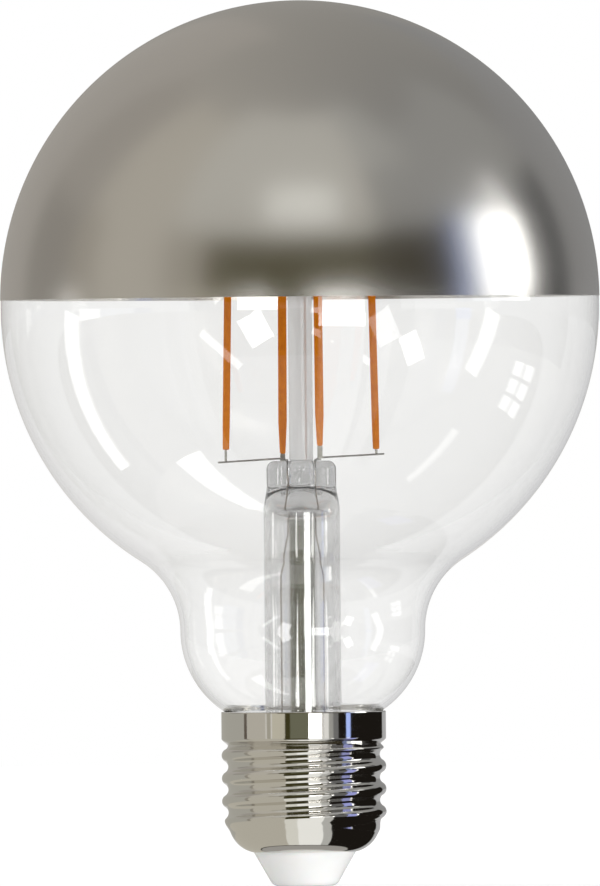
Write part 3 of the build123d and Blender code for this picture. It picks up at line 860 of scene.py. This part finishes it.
# %% Contact
shank_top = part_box("centre_contact")[1].z / MM
dimple_z = 0.25
dimple_centre_z = 1.0
dimple_r = 1.1
head_r = 3.0
head_t = 0.98
head_round = 0.4
face_r = 2.6
rivet = Outline(0, dimple_z).arc((0, dimple_centre_z), 54, 8).line(dimple_r, 0).line(face_r, 0)
rivet.arc((face_r, head_round), 90, 6).line(head_r, head_t).line(shank_r, head_t)
rivet.line(shank_r, shank_top).line(0, shank_top)
tin = finish("contact_metal", (0.62, 0.61, 0.59), 0.3, 1.0)
sheen_drift(tin, noise(tin, 0.8), 0.22, 0.42)
relief(tin, noise(tin, 0.5), 0.01)
finish_piece("contact_rivet", rivet.spun(64), tin, "centre_contact")

# %% [markdown]
# The stem is a glass tube, flared at its foot where it is sealed to the globe. Its upper end was
# softened and squeezed between two jaws, so there it is a flat press with a rib down each edge and
# one in the middle, and the leads run through it. The lathe gives the tube, and every point above
# the pinch is then moved from the circle towards the jaws' outline. The small round dent in front is
# the mark of the blow hole, where the pumping tube opens into the globe.

# %% Squeeze
stem_r = 6.05
stem_t = 1.0
stem_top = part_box("glass_stem")[1].z / MM
press_h = 4.9
pinch_h = 4.0
press_z = stem_top - press_h
pinch_z = press_z - pinch_h
squeeze_rise = (pinch_z + 0.8, press_z + 1.2)
press_half = 5.5
lobe_r = 1.5
lobe_x = 3.95
boss_r = 2.35
web_half = 1.3
side_hold = 0.35


def jaw_half(across):
    """Half the press's thickness at a place across it."""
    off_lobe = abs(across) - lobe_x
    lobe = sqrt(max(0.0, lobe_r**2 - off_lobe**2))
    boss = sqrt(max(0.0, boss_r**2 - across**2))
    web = web_half if abs(across) < lobe_x else 0.0
    return max(lobe, boss, web)


def squeeze(point):
    """Move a point of the tube's outside towards the pressed outline."""
    share = smooth_step(*squeeze_rise, point.co.z / MM)
    turn = atan2(point.co.y, point.co.x)
    reach = point.co.xy.length / MM / stem_r
    flat_x = press_half * cos(turn)
    flat_y = jaw_half(flat_x) * sin(turn) / max(side_hold, abs(sin(turn)))
    round_x = stem_r * cos(turn)
    round_y = stem_r * sin(turn)
    point.co.x = MM * reach * (round_x + (flat_x - round_x) * share)
    point.co.y = MM * reach * (round_y + (flat_y - round_y) * share)


hole_x = -0.4
hole_z = press_z + 1.6
hole_r = 1.75
hole_depth = 0.55
front_y = -0.5


def dent(point):
    """Press the round mark of the blow hole into the front of the press."""
    off = hypot(point.co.x / MM - hole_x, point.co.z / MM - hole_z) / hole_r
    if off < 1 and point.co.y < front_y * MM:
        point.co.y += hole_depth * MM * sqrt(1 - off**2)


print(f"the press is {2 * jaw_half(lobe_x):.1f} mm thick at a rib and {2 * web_half:.1f} mm between")

# %% [markdown]
# The flare, the tube and the bore are one outline. Rows lie close together where the jaws pressed,
# and just below, because a long face beside a bent one would be shaded as if it leaned. The bore
# ends in a flat slit, as the jaws leave it. The stem shows the room much more strongly than one
# glass wall would, because its front and back walls and the tube inside all mirror the same strips.
# A clear coat with a high index stands for them together. It fades to a little in the press, where
# the glass is solid and looks grey in its thickness.

# %% Glass stem
top_round = 1.4
bore_round = 2.5
bore_flatness = 0.9
seal_gap = 0.02
rows_top = pinch_z + 0.7
rows_foot = pinch_z - 1
hair = 0.01
bend = 4.0
flare_z = seal_z + bend + stem_t
rim_r = seal_r - glass_t - seal_gap
bore_r = stem_r - stem_t
bore_top = press_z - 0.2
tube = Outline(0, stem_top).line(stem_r - top_round, stem_top, cuts=7)
tube.arc((stem_r - top_round, stem_top - top_round), -90, 10)
tube.line(stem_r, rows_top, cuts=40).line(stem_r, rows_foot, cuts=2)
tube.line(stem_r, flare_z, cuts=8)
tube.arc((stem_r + bend, flare_z), 90, 16)
tube.line(rim_r, flare_z - bend).line(rim_r, seal_z + seal_gap)
tube.line(stem_r + bend, seal_z + seal_gap)
tube.arc((stem_r + bend, flare_z), -90, 16)
tube.line(bore_r, rows_foot, cuts=6).line(bore_r, bore_top - bore_round, cuts=12)
tube.arc((bore_r - bore_round, bore_top - bore_round), 90, 12).line(0, bore_top, cuts=5)
stem_form = tube.spun(160)
for point in stem_form.verts:
    height = point.co.z / MM
    in_bore = height < bore_top + hair and point.co.xy.length < (bore_r + hair) * MM
    if in_bore:
        point.co.y *= 1 - bore_flatness * smooth_step(rows_foot, bore_top, height)
    else:
        squeeze(point)
        dent(point)
stem_glass = glass("stem_glass", (0.82, 0.82, 0.82), (0.66, 0.66, 0.66), rim_from=0.5)
press_share = 0.6
shade_above(stem_glass, press_z - 0.8, press_z + 0.6, press_share)
stem_shader = stem_glass.node_tree.nodes["Principled BSDF"]
stem_coat = by_height(stem_glass, pinch_z + 0.6, press_z - 1, 1.0, 0.15)
stem_glass.node_tree.links.new(stem_coat, stem_shader.inputs["Coat Weight"])
stem_shader.inputs["Coat IOR"].default_value = 2.2
stem_shader.inputs["Coat Roughness"].default_value = 0.0
relief(stem_glass, noise(stem_glass, 4, detail=1.0, stretch=(1, 1, 0.05)), 0.02)
finish_piece("stem", stem_form, stem_glass, "glass_stem")

# %% [markdown]
# Inside the stem runs the thin tube through which the globe was pumped out and filled. It ends
# below in the round tip where it was melted shut.

# %% Exhaust tube
tip_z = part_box("exhaust_tube")[0].z / MM
tube_r = 2.0
tube_bore = 1.2
tip_round = 1.2
pipe_top = pinch_z + 1.0
pipe = Outline(0, tip_z).line(tube_r - tip_round, tip_z)
pipe.arc((tube_r - tip_round, tip_z + tip_round), 90, 10)
pipe.line(tube_r, pipe_top).line(tube_bore, pipe_top).line(tube_bore, tip_z + tube_r)
pipe.line(0, tip_z + tube_r)
pipe_glass = glass("exhaust_glass", (0.6, 0.6, 0.55), (0.32, 0.32, 0.27), rim_from=0.3)
relief(pipe_glass, noise(pipe_glass, 3, detail=1.0, stretch=(1, 1, 0.2)), 0.02)
finish_piece("pump_tube", pipe.spun(72), pipe_glass, "exhaust_tube")

# %% [markdown]
# On top of the press stands a drawn glass rod with a fused bead at its end, which holds the two
# wires that join the strips in pairs. Drawing leaves long faint streaks, so the rod is a little
# milky and its relief is stretched along it. A faint white glow on it is painted light. The mirror
# hides the bead from the front, but it shows from below.

# %% Centre rod
rod_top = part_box("centre_rod")[1].z / MM
bead_h = 4.2
bead_z = rod_top - bead_h
rod_r = 1.9
bead_r = 2.5
bead_round = 1.25
rod_z = stem_top + 0.03
foot_round = 0.3
neck_round = 0.6
post = Outline(0, rod_z).line(rod_r - foot_round, rod_z)
post.arc((rod_r - foot_round, rod_z + foot_round), 90, 5)
post.line(rod_r, bead_z - neck_round, cuts=4)
post.arc((rod_r + neck_round, bead_z - neck_round), -90, 6)
post.line(bead_r, bead_z).line(bead_r, rod_top - bead_round)
post.arc((bead_r - bead_round, rod_top - bead_round), 90, 10).line(0, rod_top)
rod_glass = glass("rod_glass", (0.97, 0.97, 0.97), (0.9, 0.9, 0.9), rim_from=0.7)
rod_shader = rod_glass.node_tree.nodes["Principled BSDF"]
rod_shader.inputs["Roughness"].default_value = 0.1
rod_shader.inputs["Transmission Weight"].default_value = 0.5
# painted light: a faint white glow that brightens the rod, which gives no light of its own
rod_shader.inputs["Emission Color"].default_value = (1, 1, 1, 1)
rod_shader.inputs["Emission Strength"].default_value = 0.05
relief(rod_glass, noise(rod_glass, 0.9, detail=1.0, stretch=(1, 1, 0.03)), 0.02)
finish_piece("centre_post", post.spun(96), rod_glass, "centre_rod")

# %% [markdown]
# A filament strip is a thin carrier with a row of tiny chips, cast in orange silicone. It is a bar
# with soft edges, narrowed at both ends where the carrier comes out as a tab. It is cut across at
# the two places where the narrowing starts, its end faces are drawn in, and all edges are bevelled.
# The four strips stand on a ring and lean in a little towards the top. They have nearly no gloss,
# and a faint orange glow on them is painted light, which lifts them out of the shade under the
# crown.

# %% Filament strips
orange = finish("filament_orange", (0.85, 0.3, 0.03), 0.6)
orange_shader = orange.node_tree.nodes["Principled BSDF"]
orange_shader.inputs["Specular IOR Level"].default_value = 0.05
# painted light: a faint orange glow that lifts the strips out of the crown's shade
orange_shader.inputs["Emission Color"].default_value = (1.0, 0.22, 0, 1)
orange_shader.inputs["Emission Strength"].default_value = 0.1
colour_drift(orange, noise(orange, 1.2), (0.8, 0.21, 0.002), (0.9, 0.28, 0.004))
relief(orange, noise(orange, 0.5), 0.03)
strip_w = 1.27
strip_t = 1.0
strip_l = 38.0
strip_end_w = 0.8
strip_round = 0.24
narrowing = 5.0
ring_r = 12.26
ring_turn = 13.9
ring_lean = 0.78


def strip_bar():
    """One strip that stands on the origin."""
    form = bmesh.new()
    bmesh.ops.create_cube(form, size=1.0)
    bmesh.ops.scale(form, vec=(strip_w * MM, strip_t * MM, strip_l * MM), verts=form.verts[:])
    bmesh.ops.translate(form, vec=(0, 0, strip_l / 2 * MM), verts=form.verts[:])
    for height in (narrowing, strip_l - narrowing):
        everything = form.verts[:] + form.edges[:] + form.faces[:]
        bmesh.ops.bisect_plane(
            form, geom=everything, plane_co=(0, 0, height * MM), plane_no=(0, 0, 1)
        )
    ends = [v for v in form.verts if v.co.z < MM or v.co.z > (strip_l - 1) * MM]
    bmesh.ops.scale(form, vec=(strip_end_w / strip_w, 1, 1), verts=ends)
    bmesh.ops.bevel(
        form,
        geom=form.edges[:],
        affect="EDGES",
        offset=strip_round * MM,
        segments=3,
        profile=0.5,
        material=-1,
    )
    return form


for step, place in enumerate(("right_outer", "left_inner", "left_outer", "right_inner")):
    turn = radians(ring_turn + 90 * step)
    out = Vector((cos(turn), sin(turn), 0))
    along = (Vector((0, 0, 1)) - out * ring_lean / strip_l).normalized()
    across = Vector((-sin(turn), cos(turn), 0))
    stand = Matrix((across, along.cross(across), along)).transposed().to_4x4()
    stand.translation = out * ring_r * MM + Vector((0, 0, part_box(f"filament_{place}")[0].z))
    bar = strip_bar()
    bmesh.ops.transform(bar, matrix=stand, verts=bar.verts[:])
    finish_piece(f"strip_{place}", bar, orange, f"filament_{place}")

# %% [markdown]
# The wires are bars and bends of the frame's own shape, so their nodes stay and only get a finish:
# drawn nickel for the supports, dull coated wire for the leads, and thin plated strip for the tabs.

# %% Wire finishes
wire_metal = finish("nickel_wire", (0.33, 0.32, 0.3), 0.32, 1.0)
colour_drift(wire_metal, noise(wire_metal, 2.0), (0.26, 0.25, 0.23), (0.4, 0.39, 0.36))
relief(wire_metal, noise(wire_metal, 0.4, stretch=(1, 1, 0.2)), 0.01)
copper = finish("copper_wire", (0.5, 0.42, 0.36), 0.35, 1.0)
colour_drift(copper, noise(copper, 1.0), (0.4, 0.33, 0.28), (0.62, 0.54, 0.47))
tab_metal = finish("terminal_metal", (0.5, 0.48, 0.43), 0.55, 1.0)
colour_drift(tab_metal, noise(tab_metal, 0.8), (0.42, 0.4, 0.35), (0.58, 0.56, 0.5))
print("wire and terminal finishes")

# %% [markdown]
# The driver sits in the dark between the cap and the stem. Each part has its everyday finish: green
# board, black moulded cases, a sleeved can, a dipped yellow box, a wound drum and a lacquered
# resistor, with soft solder and two insulated wires.

# %% Driver finishes
board = finish("board_green", (0.03, 0.14, 0.05), 0.4)
colour_drift(board, noise(board, 0.6), (0.022, 0.11, 0.04), (0.04, 0.17, 0.06))
black = finish("chip_black", (0.02, 0.02, 0.021), 0.5)
relief(black, noise(black, 0.15), 0.006)
can = finish("capacitor_can", (0.07, 0.09, 0.14), 0.3)
sheen_drift(can, noise(can, 1.5), 0.25, 0.4)
yellow = finish("film_yellow", (0.62, 0.38, 0.04), 0.25)
sheen_drift(yellow, noise(yellow, 1.5), 0.2, 0.35)
ferrite = finish("ferrite", (0.03, 0.028, 0.026), 0.6)
relief(ferrite, noise(ferrite, 0.3), 0.03)
lacquer = finish("resistor_body", (0.08, 0.17, 0.22), 0.4)
sheen_drift(lacquer, noise(lacquer, 1.0), 0.3, 0.5)
solder = finish("solder", (0.6, 0.6, 0.58), 0.3, 1.0)
sheen_drift(solder, noise(solder, 0.6), 0.2, 0.45)
red = finish("cable_red", (0.38, 0.02, 0.015), 0.35)
sheen_drift(red, noise(red, 1.0), 0.3, 0.42)
pale = finish("cable_white", (0.72, 0.72, 0.69), 0.35)
sheen_drift(pale, noise(pale, 1.0), 0.3, 0.42)
cement = finish("cement", (0.8, 0.77, 0.7), 0.85)
colour_drift(cement, noise(cement, 0.9), (0.74, 0.71, 0.63), (0.86, 0.83, 0.77))
relief(cement, noise(cement, 0.35), 0.08)
print("driver finishes")

# %% [markdown]
# A node's name starts with the kind of piece that it is, so one table from kind to finish dresses
# them all. Only the material changes; the meshes stay as they came.

# %% Give each node its finish
by_name = {
    "support_wire": wire_metal,
    "bridge_wire": wire_metal,
    "seal_wire": copper,
    "tail_wire": copper,
    "lower_terminal": tab_metal,
    "upper_terminal": tab_metal,
    "driver_board": board,
    "bridge_rectifier": black,
    "driver_chip": black,
    "smoothing_capacitor": can,
    "film_capacitor": yellow,
    "choke": ferrite,
    "fusible_resistor": lacquer,
    "solder_joint": solder,
    "live_wire": red,
    "neutral_wire": pale,
    "basing_cement": cement,
}
dressed = 0
for node, obj in nodes.items():
    for start, material in by_name.items():
        if node.startswith(start):
            obj.data.materials.clear()
            obj.data.materials.append(material)
            dressed += 1
print(dressed, "nodes dressed")
